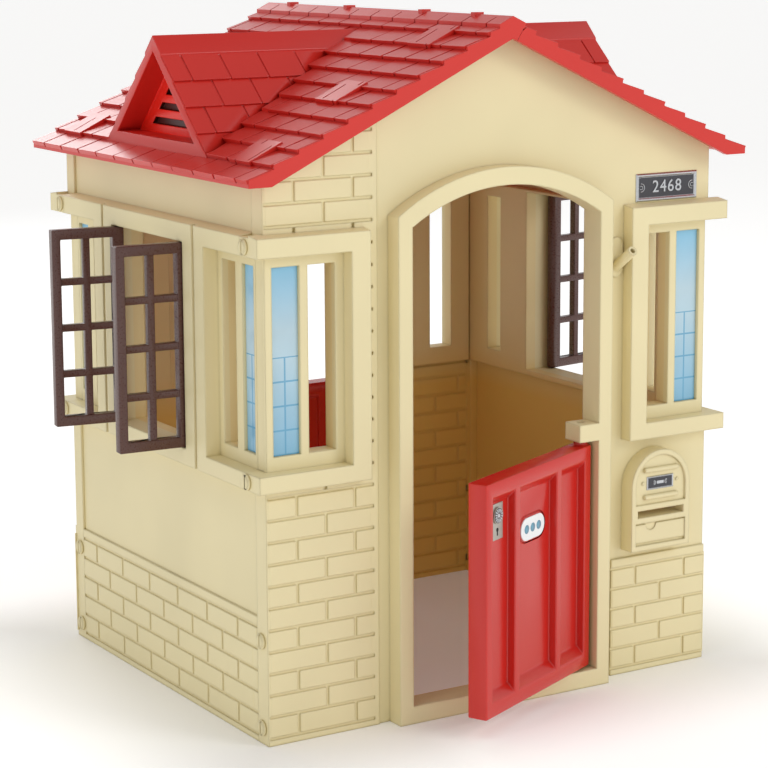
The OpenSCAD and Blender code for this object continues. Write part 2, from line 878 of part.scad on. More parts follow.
front_wall();
back_wall();
left_wall();
right_wall();
roof_left();
roof_right();
dormer_left();
dormer_right();
front_door();
back_door();
shutter_left_near();
shutter_left_far();
shutter_right_near();
shutter_right_far();
front_panes();
back_panes();
left_panes();
right_panes();
number_plate();
mailbox_badge();
lock_plate();
door_badge();
corner_screws();
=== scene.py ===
# %% [markdown]
# # A toddler's moulded plastic playhouse
# The real house is a handful of large hollow polyethylene mouldings: four walls, two roof halves,
# two half doors and four shutters, pinned together at the corners. The CAD model gives every part
# its size and place. Here each part gets soft moulded edges, a real finish and its small details.

# %% Load the frame
import json
import math

import bmesh
import bpy
from mathutils import Matrix, Quaternion, Vector


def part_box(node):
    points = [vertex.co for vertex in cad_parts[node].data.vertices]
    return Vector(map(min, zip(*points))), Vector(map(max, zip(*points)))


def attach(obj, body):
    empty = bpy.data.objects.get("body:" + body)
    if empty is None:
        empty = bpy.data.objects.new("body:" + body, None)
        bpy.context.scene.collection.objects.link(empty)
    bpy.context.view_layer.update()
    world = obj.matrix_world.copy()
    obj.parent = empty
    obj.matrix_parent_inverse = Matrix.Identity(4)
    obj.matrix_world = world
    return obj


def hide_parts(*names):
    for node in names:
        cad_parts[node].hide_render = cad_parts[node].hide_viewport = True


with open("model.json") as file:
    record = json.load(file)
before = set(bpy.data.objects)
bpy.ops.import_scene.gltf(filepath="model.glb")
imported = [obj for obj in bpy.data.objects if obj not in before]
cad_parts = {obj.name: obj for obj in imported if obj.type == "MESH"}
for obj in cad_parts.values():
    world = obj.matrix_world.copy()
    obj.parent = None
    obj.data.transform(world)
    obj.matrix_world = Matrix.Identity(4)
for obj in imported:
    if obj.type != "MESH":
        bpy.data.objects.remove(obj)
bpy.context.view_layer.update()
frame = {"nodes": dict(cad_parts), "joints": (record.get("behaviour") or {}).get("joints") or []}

# %% [markdown]
# ## Sizes that come from the frame
# Most places used below are worked out from the boxes of the CAD nodes, so those details follow the
# part when one of its sizes changes. Lengths are metres.

# %% Sizes that come from the frame
MM = 0.001
FRAME_PROUD = 22 * MM  # the window frames stand this far out of the walls
HOUSE_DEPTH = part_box("front_wall")[0].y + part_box("back_wall")[1].y
HALF_WIDTH = -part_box("left_wall")[0].x - FRAME_PROUD
MID_Y = HOUSE_DEPTH / 2
ROOF_LOW, ROOF_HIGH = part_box("roof_left")
EAVE_X = -ROOF_LOW.x
ROOF_LENGTH = ROOF_HIGH.y - ROOF_LOW.y
print("walls", round(2 * HALF_WIDTH, 3), "x", round(HOUSE_DEPTH, 3), "m, roof", round(ROOF_LENGTH, 3))

# %% [markdown]
# ## Camera
# A long lens a few metres from the front left corner, a little above the roof's eaves. A long lens
# keeps the verticals nearly upright.

# %% Camera
LENS = 112.15
CAMERA_PLACE = (-2.2122, -3.2295, 1.3139)
CAMERA_TURN = (31.63, 9.61, -0.30)  # degrees to the right, down and round the axis


def aim(yaw, pitch, roll):
    """Turn of a camera looking along +Y, turned yaw to the right, pitch down and roll round its axis."""
    y, p = math.radians(yaw), math.radians(pitch)
    forward = Vector((math.sin(y) * math.cos(p), math.cos(y) * math.cos(p), -math.sin(p)))
    return forward.to_track_quat("-Z", "Y") @ Quaternion((0, 0, 1), math.radians(roll))


camera_data = bpy.data.cameras.new("camera")
camera_data.lens = LENS
camera_data.sensor_width = 36
camera_data.shift_y = -0.08
camera = bpy.data.objects.new("camera", camera_data)
bpy.context.scene.collection.objects.link(camera)
camera.location = CAMERA_PLACE
camera.rotation_mode = "QUATERNION"
camera.rotation_quaternion = aim(*CAMERA_TURN)
bpy.context.scene.camera = camera
bpy.context.scene.view_settings.view_transform = "Standard"
print("camera", tuple(round(v, 2) for v in camera.location))

# %% [markdown]
# ## Two helpers for node trees
# `add` makes one node, sets its fields, and links or fills its inputs. It serves shader trees and
# geometry trees alike. `colour` turns a hex colour as seen on a screen into linear light.

# %% Two helpers for node trees
def add(tree, kind, inputs=None, **settings):
    """One node: its settings, then its inputs, each a value or another node's output."""
    node = tree.nodes.new(kind)
    for name, value in settings.items():
        setattr(node, name, value)
    for name, value in (inputs or {}).items():
        socket = node.inputs[name]
        if isinstance(value, bpy.types.NodeSocket):
            tree.links.new(value, socket)
        else:
            socket.default_value = value
    return node


def colour(code):
    """Linear RGBA of an sRGB hex colour."""
    parts = [int(code[i:i + 2], 16) / 255 for i in (1, 3, 5)]
    linear = [c / 12.92 if c <= 0.04045 else ((c + 0.055) / 1.055) ** 2.4 for c in parts]
    return (*linear, 1.0)


def blank_material(name):
    """A material with only its shader and its output."""
    material = bpy.data.materials.new(name)
    material.use_nodes = True
    tree = material.node_tree
    tree.nodes.clear()
    shader = add(tree, "ShaderNodeBsdfPrincipled")
    add(tree, "ShaderNodeOutputMaterial", {"Surface": shader.outputs["BSDF"]})
    return material, tree, shader


print("beige in linear light", tuple(round(c, 3) for c in colour("#e6dab2")))

# %% [markdown]
# ## Moulded polyethylene
# All the large parts are rotationally or blow moulded polyethylene, coloured through. The eye sees
# a satin skin, softly uneven where the wall cooled (waves about 90 mm long), and on the beige parts a
# faint pebble from the mould (drawn 3 mm across, coarser than the real one, so that it shows). Grooves,
# corners and recesses get painted shade: an ambient occlusion node darkens the colour towards a darker
# shade colour there. The plastic is thin enough to glow, so the inner side of a wall gets a painted
# warmer glow and deeper shade: the inner colours are that painted glow and shade, and the mask
# function passed in says where.

# %% Moulded polyethylene
WAVE = 90 * MM
PEBBLE = 3 * MM
TINT_PATCH = 240 * MM
# how far the ambient occlusion looks for the painted shade in grooves and corners
GROOVE_REACH = 9 * MM
PAST_WALL = 16 * MM  # the inner faces of the walls lie further in than this
SILL_FADE = 80 * MM  # the shade indoors fades over this height below the panes
GABLE_EDGE = 24 * MM  # a dormer's louvred panel lies further than this below its roof
PANEL_DEPTH = 43 * MM  # and further than this behind its front edge
SLOT_DEPTH = 46.5 * MM  # as its slots do than this


def off_middle(tree, along):
    """Distance of a Y coordinate from the middle of the house, to either side."""
    shifted = add(tree, "ShaderNodeMath", {0: along, 1: MID_Y}, operation="SUBTRACT")
    return add(tree, "ShaderNodeMath", {0: shifted.outputs[0]}, operation="ABSOLUTE").outputs[0]


def within(tree, value, limit):
    """Node output that is 1 where the value is smaller than the limit."""
    return add(tree, "ShaderNodeMath", {0: value, 1: limit}, operation="LESS_THAN").outputs[0]


def inside_house(tree, place):
    """Mask of the painted warm glow and shade on the inner faces of the four walls: 0.5 low down, less
    at the bright windows.
    """
    parts = add(tree, "ShaderNodeSeparateXYZ", {"Vector": place})
    across = add(tree, "ShaderNodeMath", {0: parts.outputs["X"]}, operation="ABSOLUTE")
    side = within(tree, across.outputs[0], HALF_WIDTH - PAST_WALL)
    end = within(tree, off_middle(tree, parts.outputs["Y"]), MID_Y - PAST_WALL)
    both = add(tree, "ShaderNodeMath", {0: side, 1: end}, operation="MULTIPLY")
    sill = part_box("front_panes")[0].z
    share = add(tree, "ShaderNodeMapRange", {"Value": parts.outputs["Z"], "From Min": sill - SILL_FADE,
                                             "From Max": sill, "To Min": 0.5, "To Max": 0.14})
    return add(tree, "ShaderNodeMath", {0: both.outputs[0], 1: share.outputs["Result"]},
               operation="MULTIPLY").outputs[0]


def inside_dormer(tree, place):
    """Mask of painted light on a dormer's louvred back: 0.5 on its panel, a painted glow; 1 down in its
    slots, painted shade.
    """
    parts = add(tree, "ShaderNodeSeparateXYZ", {"Vector": place})
    height = add(tree, "ShaderNodeMath", {0: parts.outputs["Z"],
                                          1: off_middle(tree, parts.outputs["Y"])}, operation="ADD")
    below = within(tree, height.outputs[0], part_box("dormer_left")[1].z - GABLE_EDGE)
    across = add(tree, "ShaderNodeMath", {0: parts.outputs["X"]}, operation="ABSOLUTE").outputs[0]
    front = -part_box("dormer_left")[0].x
    depth = add(tree, "ShaderNodeMath", {0: within(tree, across, front - PANEL_DEPTH),
                                         1: within(tree, across, front - SLOT_DEPTH)})
    half = add(tree, "ShaderNodeMath", {0: depth.outputs[0], 1: 0.5}, operation="MULTIPLY")
    return add(tree, "ShaderNodeMath", {0: below, 1: half.outputs[0]}, operation="MULTIPLY").outputs[0]


def polyethylene(name, face, groove_shade, roughness, wave_depth, pebble_depth, edge, glow_and_shade_mask=None,
                 inner=()):
    """Satin moulded plastic: colour, painted shade colour for grooves, roughness, wave and pebble
    depths, edge radius, mask and colours of painted glow and shade.
    """
    material, tree, shader = blank_material(name)
    place = add(tree, "ShaderNodeTexCoord").outputs["Object"]
    patch = add(tree, "ShaderNodeTexNoise", {"Vector": place, "Scale": 1 / TINT_PATCH, "Detail": 2.0})
    wave = add(tree, "ShaderNodeTexNoise", {"Vector": place, "Scale": 1 / WAVE, "Detail": 1.0})
    pebble = add(tree, "ShaderNodeTexNoise", {"Vector": place, "Scale": 1 / PEBBLE, "Detail": 3.0})
    shade = add(tree, "ShaderNodeMapRange", {"Value": patch.outputs["Fac"], "From Min": 0.3,
                                             "From Max": 0.7, "To Min": 0.965, "To Max": 1.03})
    tinted = add(tree, "ShaderNodeHueSaturation", {"Value": shade.outputs["Result"],
                                                   "Color": colour(face)})
    # painted shade: ambient occlusion darkens grooves, corners and recesses towards the shade colour
    # given
    occlusion_shade = add(tree, "ShaderNodeAmbientOcclusion", {"Distance": GROOVE_REACH}, samples=8)
    depth = add(tree, "ShaderNodeMapRange", {"Value": occlusion_shade.outputs["AO"], "From Min": 0.25,
                                             "From Max": 0.75})
    skin = add(tree, "ShaderNodeMix", {"Factor": depth.outputs["Result"], "A": colour(groove_shade),
                                       "B": tinted.outputs["Color"]}, data_type="RGBA")
    # painted glow and shade: the mask lays the inner colours over the skin
    if glow_and_shade_mask:
        mask = glow_and_shade_mask(tree, place)
        for start, code in zip((0.0, 0.5), inner):
            step = add(tree, "ShaderNodeMapRange", {"Value": mask, "From Min": start,
                                                    "From Max": start + 0.5})
            skin = add(tree, "ShaderNodeMix", {"Factor": step.outputs["Result"], "B": colour(code),
                                               "A": skin.outputs["Result"]}, data_type="RGBA")
    gloss = add(tree, "ShaderNodeMapRange", {"Value": pebble.outputs["Fac"], "From Min": 0.3,
                                             "From Max": 0.7, "To Min": roughness - 0.02,
                                             "To Max": roughness + 0.03})
    cooled = add(tree, "ShaderNodeBump", {"Height": wave.outputs["Fac"], "Distance": wave_depth})
    if edge:
        soft_edge = add(tree, "ShaderNodeBevel", {"Radius": edge}, samples=6)
        tree.links.new(soft_edge.outputs["Normal"], cooled.inputs["Normal"])
    grained = cooled
    if pebble_depth:
        grained = add(tree, "ShaderNodeBump", {"Height": pebble.outputs["Fac"],
                                               "Distance": pebble_depth,
                                               "Normal": cooled.outputs["Normal"]})
    links = {"Base Color": skin.outputs["Result"], "Roughness": gloss.outputs["Result"],
             "Normal": grained.outputs["Normal"]}
    for name, output in links.items():
        tree.links.new(output, shader.inputs[name])
    shader.inputs["IOR"].default_value = 1.51
    return material


# the inner colour of the beige is a painted warm glow and shade on the inner faces of the walls
# the second colour of each plastic is the painted shade of its grooves and corners
beige = polyethylene("beige moulded polyethylene", "#e5d8ab", "#cdbc82", 0.46, 0.6 * MM, 0.08 * MM,
                     5 * MM, inside_house, ("#e8c46c",))
brick_beige = polyethylene("beige moulded polyethylene, brick faces", "#e5d8ab", "#d3c38c", 0.46,
                           0.6 * MM, 0.08 * MM, 0)
red = polyethylene("red moulded polyethylene", "#cf2a20", "#a81611", 0.30, 0.15 * MM, 0, 0)
roof_red = polyethylene("red moulded polyethylene, roof halves", "#cf2a20", "#a81611", 0.30,
                        0.15 * MM, 0, 1.2 * MM)
# the two inner colours are a painted glow on the louvred panel and painted shade in its slots
dormer_red = polyethylene("red moulded polyethylene, dormers", "#cb281f", "#a81611", 0.30, 0.15 * MM,
                          0, 0, inside_dormer, ("#f22a1b", "#45150f"))
door_red = polyethylene("red blow moulded polyethylene", "#c8261d", "#9d1411", 0.24, 0.4 * MM,
                        0, 0)
brown = polyethylene("dark brown moulded polyethylene", "#55352e", "#422c27", 0.28, 0.2 * MM,
                     0, 0)
print("plastics", [m.name for m in (beige, brick_beige, red, roof_red, dormer_red, door_red, brown)])

# %% [markdown]
# ## The window film
# The blind panes are flat panels with a printed film: sky blue at the top, pale in the middle, and
# the faint bars of a window reflected in the lower half. The print depends only on height and on
# the distance along the wall, so it is made from Object coordinates.

# %% The window film
PANE_LOW, PANE_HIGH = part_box("front_panes")
BAR_PITCH = 0.13 * (PANE_HIGH.z - PANE_LOW.z)
BAR = 3 * MM


def window_film(name, along, middle):
    """Printed sky film on a pane; along is the coordinate that runs along the wall."""
    material, tree, shader = blank_material(name)
    place = add(tree, "ShaderNodeTexCoord").outputs["Object"]
    parts = add(tree, "ShaderNodeSeparateXYZ", {"Vector": place})
    height = add(tree, "ShaderNodeMapRange", {"Value": parts.outputs["Z"], "From Min": PANE_LOW.z,
                                              "From Max": PANE_HIGH.z})
    sky = add(tree, "ShaderNodeValToRGB", {"Fac": height.outputs["Result"]})
    stops = ((0.0, "#7fb4d2"), (0.25, "#9cc3d8"), (0.50, "#b4cfdc"), (0.66, "#b6cfdb"), (1.0, "#86bfdf"))
    while len(sky.color_ramp.elements) < len(stops):
        sky.color_ramp.elements.new(0.5)
    for element, (at, code) in zip(sky.color_ramp.elements, stops):
        element.position = at
        element.color = colour(code)
    above = add(tree, "ShaderNodeMath", {0: parts.outputs["Z"], 1: PANE_LOW.z + 1 * MM},
                operation="SUBTRACT")
    rung = add(tree, "ShaderNodeMath", {0: above.outputs[0], 1: BAR_PITCH / 2}, operation="PINGPONG")
    thin = add(tree, "ShaderNodeMath", {0: rung.outputs[0], 1: BAR / 2}, operation="LESS_THAN")
    if along == "Y":
        side = off_middle(tree, parts.outputs["Y"])
    else:
        side = add(tree, "ShaderNodeMath", {0: parts.outputs["X"]}, operation="ABSOLUTE").outputs[0]
    post = add(tree, "ShaderNodeMath", {0: side, 1: middle, 2: BAR / 2}, operation="COMPARE")
    bars = add(tree, "ShaderNodeMath", {0: thin.outputs[0], 1: post.outputs[0]}, operation="MAXIMUM")
    lower = add(tree, "ShaderNodeMath", {0: height.outputs["Result"], 1: 0.525}, operation="LESS_THAN")
    shown = add(tree, "ShaderNodeMath", {0: bars.outputs[0], 1: lower.outputs[0]},
                operation="MULTIPLY")
    faint = add(tree, "ShaderNodeMath", {0: shown.outputs[0], 1: 0.8}, operation="MULTIPLY")
    print_colour = add(tree, "ShaderNodeMix", {"Factor": faint.outputs[0], "A": sky.outputs["Color"],
                                               "B": colour("#5d9fc4")}, data_type="RGBA")
    cloud = add(tree, "ShaderNodeTexNoise", {"Vector": place, "Scale": 1 / (60 * MM), "Detail": 2.0})
    hazy = add(tree, "ShaderNodeMapRange", {"Value": cloud.outputs["Fac"], "To Min": 0.92,
                                            "To Max": 1.08})
    final = add(tree, "ShaderNodeHueSaturation", {"Value": hazy.outputs["Result"],
                                                  "Color": print_colour.outputs["Result"]})
    gloss = add(tree, "ShaderNodeMapRange", {"Value": cloud.outputs["Fac"], "To Min": 0.12,
                                             "To Max": 0.22})
    tree.links.new(final.outputs["Color"], shader.inputs["Base Color"])
    tree.links.new(gloss.outputs["Result"], shader.inputs["Roughness"])
    return material


end_pane_middle = (abs(PANE_LOW.x) + HALF_WIDTH - 68 * MM) / 2
side_pane_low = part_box("left_panes")[0]
side_pane_middle = MID_Y - side_pane_low.y - 19 * MM
end_film = window_film("printed sky film, end walls", "X", end_pane_middle)
side_film = window_film("printed sky film, side walls", "Y", side_pane_middle)
print("pane height", round(PANE_HIGH.z - PANE_LOW.z, 3))

# %% [markdown]
# ## Small metals and enamels
# The number plate and the mailbox badge are black with bright bevelled rims; the lock plate is a
# satin pressed metal; the door badge is a white printed plastic label.

# %% Small metals and enamels
def pressed_metal(name, face, roughness, scratch=9.0):
    """Satin pressed metal with fine long scratches."""
    material, tree, shader = blank_material(name)
    place = add(tree, "ShaderNodeTexCoord").outputs["Object"]
    stretched = add(tree, "ShaderNodeMapping", {"Vector": place, "Scale": (scratch, scratch, 1.0)})
    lines = add(tree, "ShaderNodeTexNoise", {"Vector": stretched.outputs["Vector"],
                                             "Scale": 1 / (6 * MM), "Detail": 4.0})
    gloss = add(tree, "ShaderNodeMapRange", {"Value": lines.outputs["Fac"],
                                             "To Min": roughness - 0.1, "To Max": roughness + 0.1})
    tarnish = add(tree, "ShaderNodeMix", {"Factor": lines.outputs["Fac"], "A": colour(face),
                                          "B": colour("#6f6a62")}, data_type="RGBA")
    mostly = add(tree, "ShaderNodeMix", {"Factor": 0.25, "A": colour(face),
                                         "B": tarnish.outputs["Result"]}, data_type="RGBA")
    dents = add(tree, "ShaderNodeBump", {"Height": lines.outputs["Fac"], "Distance": 0.05 * MM})
    tree.links.new(mostly.outputs["Result"], shader.inputs["Base Color"])
    tree.links.new(gloss.outputs["Result"], shader.inputs["Roughness"])
    tree.links.new(dents.outputs["Normal"], shader.inputs["Normal"])
    shader.inputs["Metallic"].default_value = 1.0
    return material


def enamel(name, face, roughness=0.3):
    """Glossy printed or enamelled face with a little orange peel."""
    material, tree, shader = blank_material(name)
    place = add(tree, "ShaderNodeTexCoord").outputs["Object"]
    peel = add(tree, "ShaderNodeTexNoise", {"Vector": place, "Scale": 1 / (2.5 * MM)})
    tone = add(tree, "ShaderNodeMapRange", {"Value": peel.outputs["Fac"], "To Min": 0.93,
                                            "To Max": 1.07})
    face_colour = add(tree, "ShaderNodeHueSaturation", {"Value": tone.outputs["Result"],
                                                        "Color": colour(face)})
    gloss = add(tree, "ShaderNodeMapRange", {"Value": peel.outputs["Fac"], "To Min": roughness - 0.08,
                                             "To Max": roughness + 0.08})
    dimple = add(tree, "ShaderNodeBump", {"Height": peel.outputs["Fac"], "Distance": 0.05 * MM})
    tree.links.new(face_colour.outputs["Color"], shader.inputs["Base Color"])
    tree.links.new(gloss.outputs["Result"], shader.inputs["Roughness"])
    tree.links.new(dimple.outputs["Normal"], shader.inputs["Normal"])
    return material


bright_metal = pressed_metal("bright pressed aluminium", "#c9ccd0", 0.28)
lock_metal = pressed_metal("satin nickel plate", "#b9b7ae", 0.36)
black_enamel = enamel("black stove enamel", "#3a3a40", 0.35)
white_print = enamel("white printed vinyl", "#eceff0", 0.32)
blue_print = enamel("sky blue printed vinyl", "#6fa6bd", 0.32)
# painted shade: the keyhole is a dark inlay standing in for a hole
dark_hole = enamel("shaded keyhole", "#141214", 0.6)
print("small finishes ready")

# %% [markdown]
# ## Soft moulded edges
# Mouldings have no sharp edge: plastic only fills a corner with a radius. Each CAD node is copied,
# its triangles are merged back into whole faces, and a bevel rounds every edge. The copy stands for
# the node, which stays in the simulation.

# %% Soft moulded edges
def show(mesh, name, material):
    """An object for a mesh, with one material."""
    mesh.materials.clear()
    mesh.materials.append(material)
    piece = bpy.data.objects.new(name, mesh)
    bpy.context.scene.collection.objects.link(piece)
    return piece


def finished_mesh(piece):
    """The plain mesh that the object's modifiers make."""
    bpy.context.view_layer.update()
    evaluated = piece.evaluated_get(bpy.context.evaluated_depsgraph_get())
    return bpy.data.meshes.new_from_object(evaluated)


def rounded(node, radius, body, material, segments=2):
    """A copy of a CAD node with rounded edges that stands for the node."""
    mesh = frame["nodes"][node].data.copy()
    work = bmesh.new()
    work.from_mesh(mesh)
    bmesh.ops.remove_doubles(work, verts=work.verts, dist=0.01 * MM)
    bmesh.ops.dissolve_limit(work, angle_limit=math.radians(0.5), verts=work.verts, edges=work.edges)
    for face in work.faces:
        face.smooth = True
    work.to_mesh(mesh)
    work.free()
    piece = show(mesh, node + "_moulding", material)
    edges = piece.modifiers.new("edges", "BEVEL")
    edges.width = radius
    edges.segments = segments
    edges.limit_method = "ANGLE"
    edges.angle_limit = math.radians(35)
    edges.use_clamp_overlap = False
    edges.harden_normals = True
    mesh = finished_mesh(piece)
    piece.modifiers.clear()
    piece.data = mesh
    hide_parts(node)
    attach(piece, body)
    print(piece.name, len(mesh.polygons), "faces")
    return piece


for node in ("dormer_left", "dormer_right"):
    rounded(node, 1.5 * MM, "house", dormer_red)
rounded("front_door", 2.5 * MM, "front_door", door_red, 3)
rounded("back_door", 2.5 * MM, "back_door", door_red, 3)
for node in ("shutter_left_near", "shutter_left_far", "shutter_right_near", "shutter_right_far"):
    rounded(node, 1.5 * MM, node, brown)
rounded("corner_screws", 0.9 * MM, "house", beige)

# %% [markdown]
# ## Parts that keep their CAD mesh
# The walls, roof halves, panes and two thin plates keep the CAD mesh and only get a finish.

# %% Parts that keep their CAD mesh
finishes = {"front_wall": beige, "back_wall": beige, "left_wall": beige, "right_wall": beige,
            "roof_left": roof_red, "roof_right": roof_red,
            "front_panes": end_film, "back_panes": end_film, "left_panes": side_film,
            "right_panes": side_film, "lock_plate": lock_metal, "door_badge": white_print}
for node, material in finishes.items():
    frame["nodes"][node].data.materials.clear()
    frame["nodes"][node].data.materials.append(material)
print("finished", len(finishes), "parts")

# %% [markdown]
# ## A tree that lays courses
# Shingles and bricks are both laid in courses: rows at an even pitch, every second row shifted by
# half a piece, the end pieces cut to the wall or the roof. One geometry tree lays both. It numbers
# the points, works out each one's row and its two ends, drops slivers and whatever lies under the
# dormer, and puts one bevelled piece on each point, stretched to the room it has and tilted a hair
# so that no two catch the light alike.

# %% A tree that lays courses
COURSE_SOCKETS = (("Piece", "NodeSocketObject"), ("Finish", "NodeSocketMaterial"),
                  ("Rows", "NodeSocketInt"), ("Columns", "NodeSocketInt"),
                  ("Pitch", "NodeSocketFloat"), ("Length", "NodeSocketFloat"),
                  ("First", "NodeSocketFloat"), ("Shift", "NodeSocketFloat"),
                  ("Run", "NodeSocketFloat"), ("Gap", "NodeSocketFloat"),
                  ("Tilt", "NodeSocketFloat"), ("Keep Out Half", "NodeSocketFloat"),
                  ("Keep Out Start", "NodeSocketFloat"), ("Keep Out Taper", "NodeSocketFloat"),
                  ("Seed", "NodeSocketInt"))


def course_tree():
    """The geometry tree that lays pieces in staggered courses: rows along X, pieces along Y."""
    tree = bpy.data.node_groups.new("staggered courses", "GeometryNodeTree")
    for label, kind in COURSE_SOCKETS:
        tree.interface.new_socket(label, in_out="INPUT", socket_type=kind)
    tree.interface.new_socket("Geometry", in_out="OUTPUT", socket_type="NodeSocketGeometry")
    given = add(tree, "NodeGroupInput").outputs

    def math_node(operation, a, b=0.0):
        return add(tree, "ShaderNodeMath", {0: a, 1: b}, operation=operation).outputs[0]

    index = add(tree, "GeometryNodeInputIndex").outputs[0]
    row = math_node("FLOOR", math_node("DIVIDE", math_node("ADD", index, 0.5), given["Columns"]))
    column = math_node("SUBTRACT", index, math_node("MULTIPLY", row, given["Columns"]))
    odd = math_node("MODULO", row, 2.0)
    first = math_node("ADD", given["First"], math_node("MULTIPLY", odd, given["Shift"]))
    far = math_node("ADD", first, math_node("MULTIPLY", column, given["Length"]))
    near = math_node("SUBTRACT", far, given["Length"])
    low = math_node("MINIMUM", math_node("MAXIMUM", near, 0.0), given["Run"])
    high = math_node("MINIMUM", far, given["Run"])
    width = math_node("SUBTRACT", math_node("SUBTRACT", high, low), given["Gap"])
    middle = math_node("MULTIPLY", math_node("ADD", low, high), 0.5)
    along = math_node("MULTIPLY", row, given["Pitch"])
    count = math_node("MULTIPLY", given["Rows"], given["Columns"])
    place = add(tree, "ShaderNodeCombineXYZ", {"X": along, "Y": middle})
    points = add(tree, "GeometryNodePoints", {"Count": count, "Position": place.outputs[0]})
    marked = add(tree, "GeometryNodeStoreNamedAttribute",
                 {"Geometry": points.outputs[0], "Name": "room", "Value": width})
    off_middle = math_node("ABSOLUTE", math_node("SUBTRACT", middle,
                                                 math_node("MULTIPLY", given["Run"], 0.5)))
    up = math_node("SUBTRACT", math_node("ADD", along, math_node("MULTIPLY", given["Pitch"], 0.5)),
                   given["Keep Out Start"])
    reach = math_node("SUBTRACT", given["Keep Out Half"],
                      math_node("MULTIPLY", up, given["Keep Out Taper"]))
    covered = math_node("MULTIPLY", math_node("LESS_THAN", off_middle, reach),
                        math_node("GREATER_THAN", up, 0.0))
    sliver = math_node("LESS_THAN", width, 9 * MM)
    dropped = add(tree, "GeometryNodeDeleteGeometry",
                  {"Geometry": marked.outputs["Geometry"],
                   "Selection": math_node("MAXIMUM", covered, sliver)})
    room = add(tree, "GeometryNodeInputNamedAttribute", {"Name": "room"}).outputs["Attribute"]
    stretch = math_node("DIVIDE", room, math_node("SUBTRACT", given["Length"], given["Gap"]))
    size = add(tree, "ShaderNodeCombineXYZ", {"X": 1.0, "Y": stretch, "Z": 1.0})
    tilts = add(tree, "FunctionNodeRandomValue", {"Seed": given["Seed"]}, data_type="FLOAT_VECTOR")
    centred = add(tree, "ShaderNodeVectorMath", {0: tilts.outputs[0], 1: (0.5, 0.5, 0.5)},
                  operation="SUBTRACT")
    turn = add(tree, "ShaderNodeVectorMath", {0: centred.outputs[0], "Scale": given["Tilt"]},
               operation="SCALE")
    laid = add(tree, "GeometryNodeInstanceOnPoints",
               {"Points": dropped.outputs[0], "Rotation": turn.outputs[0],
                "Instance": add(tree, "GeometryNodeObjectInfo",
                                {"Object": given["Piece"]}).outputs["Geometry"],
                "Scale": size.outputs[0]})
    whole = add(tree, "GeometryNodeRealizeInstances", {"Geometry": laid.outputs[0]})
    done = add(tree, "GeometryNodeSetMaterial", {"Geometry": whole.outputs[0],
                                                 "Material": given["Finish"]})
    add(tree, "NodeGroupOutput", {"Geometry": done.outputs[0]})
    return tree


def grown(name, tree, values):
    """The plain mesh that a geometry tree makes from these named inputs."""
    holder = bpy.data.objects.new(name, bpy.data.meshes.new(name))
    bpy.context.scene.collection.objects.link(holder)
    modifier = holder.modifiers.new("tree", "NODES")
    modifier.node_group = tree
    sockets = {item.name: item.identifier for item in tree.interface.items_tree
               if item.in_out == "INPUT"}
    for label, value in values.items():
        modifier[sockets[label]] = value
    mesh = finished_mesh(holder)
    bpy.data.objects.remove(holder)
    return mesh


def slab(name, corners, rows, bevel, segments=2):
    """A bevelled solid between a lower and an upper outline, made as a source for copies."""
    work = bmesh.new()
    made = [work.verts.new(c) for c in corners]
    for row in rows:
        work.faces.new([made[i] for i in row])
    bmesh.ops.recalc_face_normals(work, faces=work.faces)
    for face in work.faces:
        face.smooth = True
    mesh = bpy.data.meshes.new(name)
    work.to_mesh(mesh)
    work.free()
    piece = bpy.data.objects.new(name, mesh)
    bpy.context.scene.collection.objects.link(piece)
    edges = piece.modifiers.new("edges", "BEVEL")
    edges.width = bevel
    edges.segments = segments
    edges.limit_method = "NONE"
    edges.harden_normals = True
    piece.data = finished_mesh(piece)
    piece.modifiers.clear()
    return piece


BOX_ROWS = ((0, 1, 3, 2), (4, 6, 7, 5), (0, 4, 5, 1), (2, 3, 7, 6), (0, 2, 6, 4), (1, 5, 7, 3))


def wedge(name, length, width, butt, thin, bevel):
    """One shingle: from its thick butt at x = 0 to its thin end, centred on Y."""
    corners = [(x, y, z) for x, top in ((0.0, butt), (length, thin)) for y in (-width / 2, width / 2)
               for z in (0.2 * MM, top)]
    return slab(name, corners, BOX_ROWS, bevel)


courses = course_tree()
print("course tree", len(courses.nodes), "nodes")

# %% [markdown]
# ## Shingles
# The roof halves are moulded to look shingled. Their steps are in the CAD part; this layer gives
# every shingle its own rounded butt, a hair proud of the step, so the rows catch the light unevenly.

# %% Shingles
ROOF_SLOPE = math.radians(25.4)
SHINGLE = 72 * MM
SHINGLE_ROWS = 11
BED_Z = ROOF_LOW.z + 5 * MM
SHINGLE_RUN = EAVE_X / SHINGLE_ROWS / math.cos(ROOF_SLOPE)
DORMER_LOW, DORMER_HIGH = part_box("dormer_left")
DORMER_HALF = (DORMER_HIGH.y - DORMER_LOW.y) / 2


def frame_at(origin, along_x, along_y, along_z):
    """Matrix of a frame with that origin and those axes."""
    turn = Matrix((along_x, along_y, along_z)).transposed().to_4x4()
    return Matrix.Translation(origin) @ turn


def mirrored(mesh, axis, at):
    """The mesh seen in a mirror square to the axis, with its faces turned outwards again."""
    other = mesh.copy()
    shift = Vector(axis) * 2 * at
    other.transform(Matrix.Translation(shift) @ Matrix.Scale(-1, 4, axis))
    other.flip_normals()
    return other


def add_piece(mesh, name, body, material):
    """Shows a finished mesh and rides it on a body."""
    piece = show(mesh, name, material)
    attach(piece, body)
    print(name, len(mesh.polygons), "faces")
    return piece


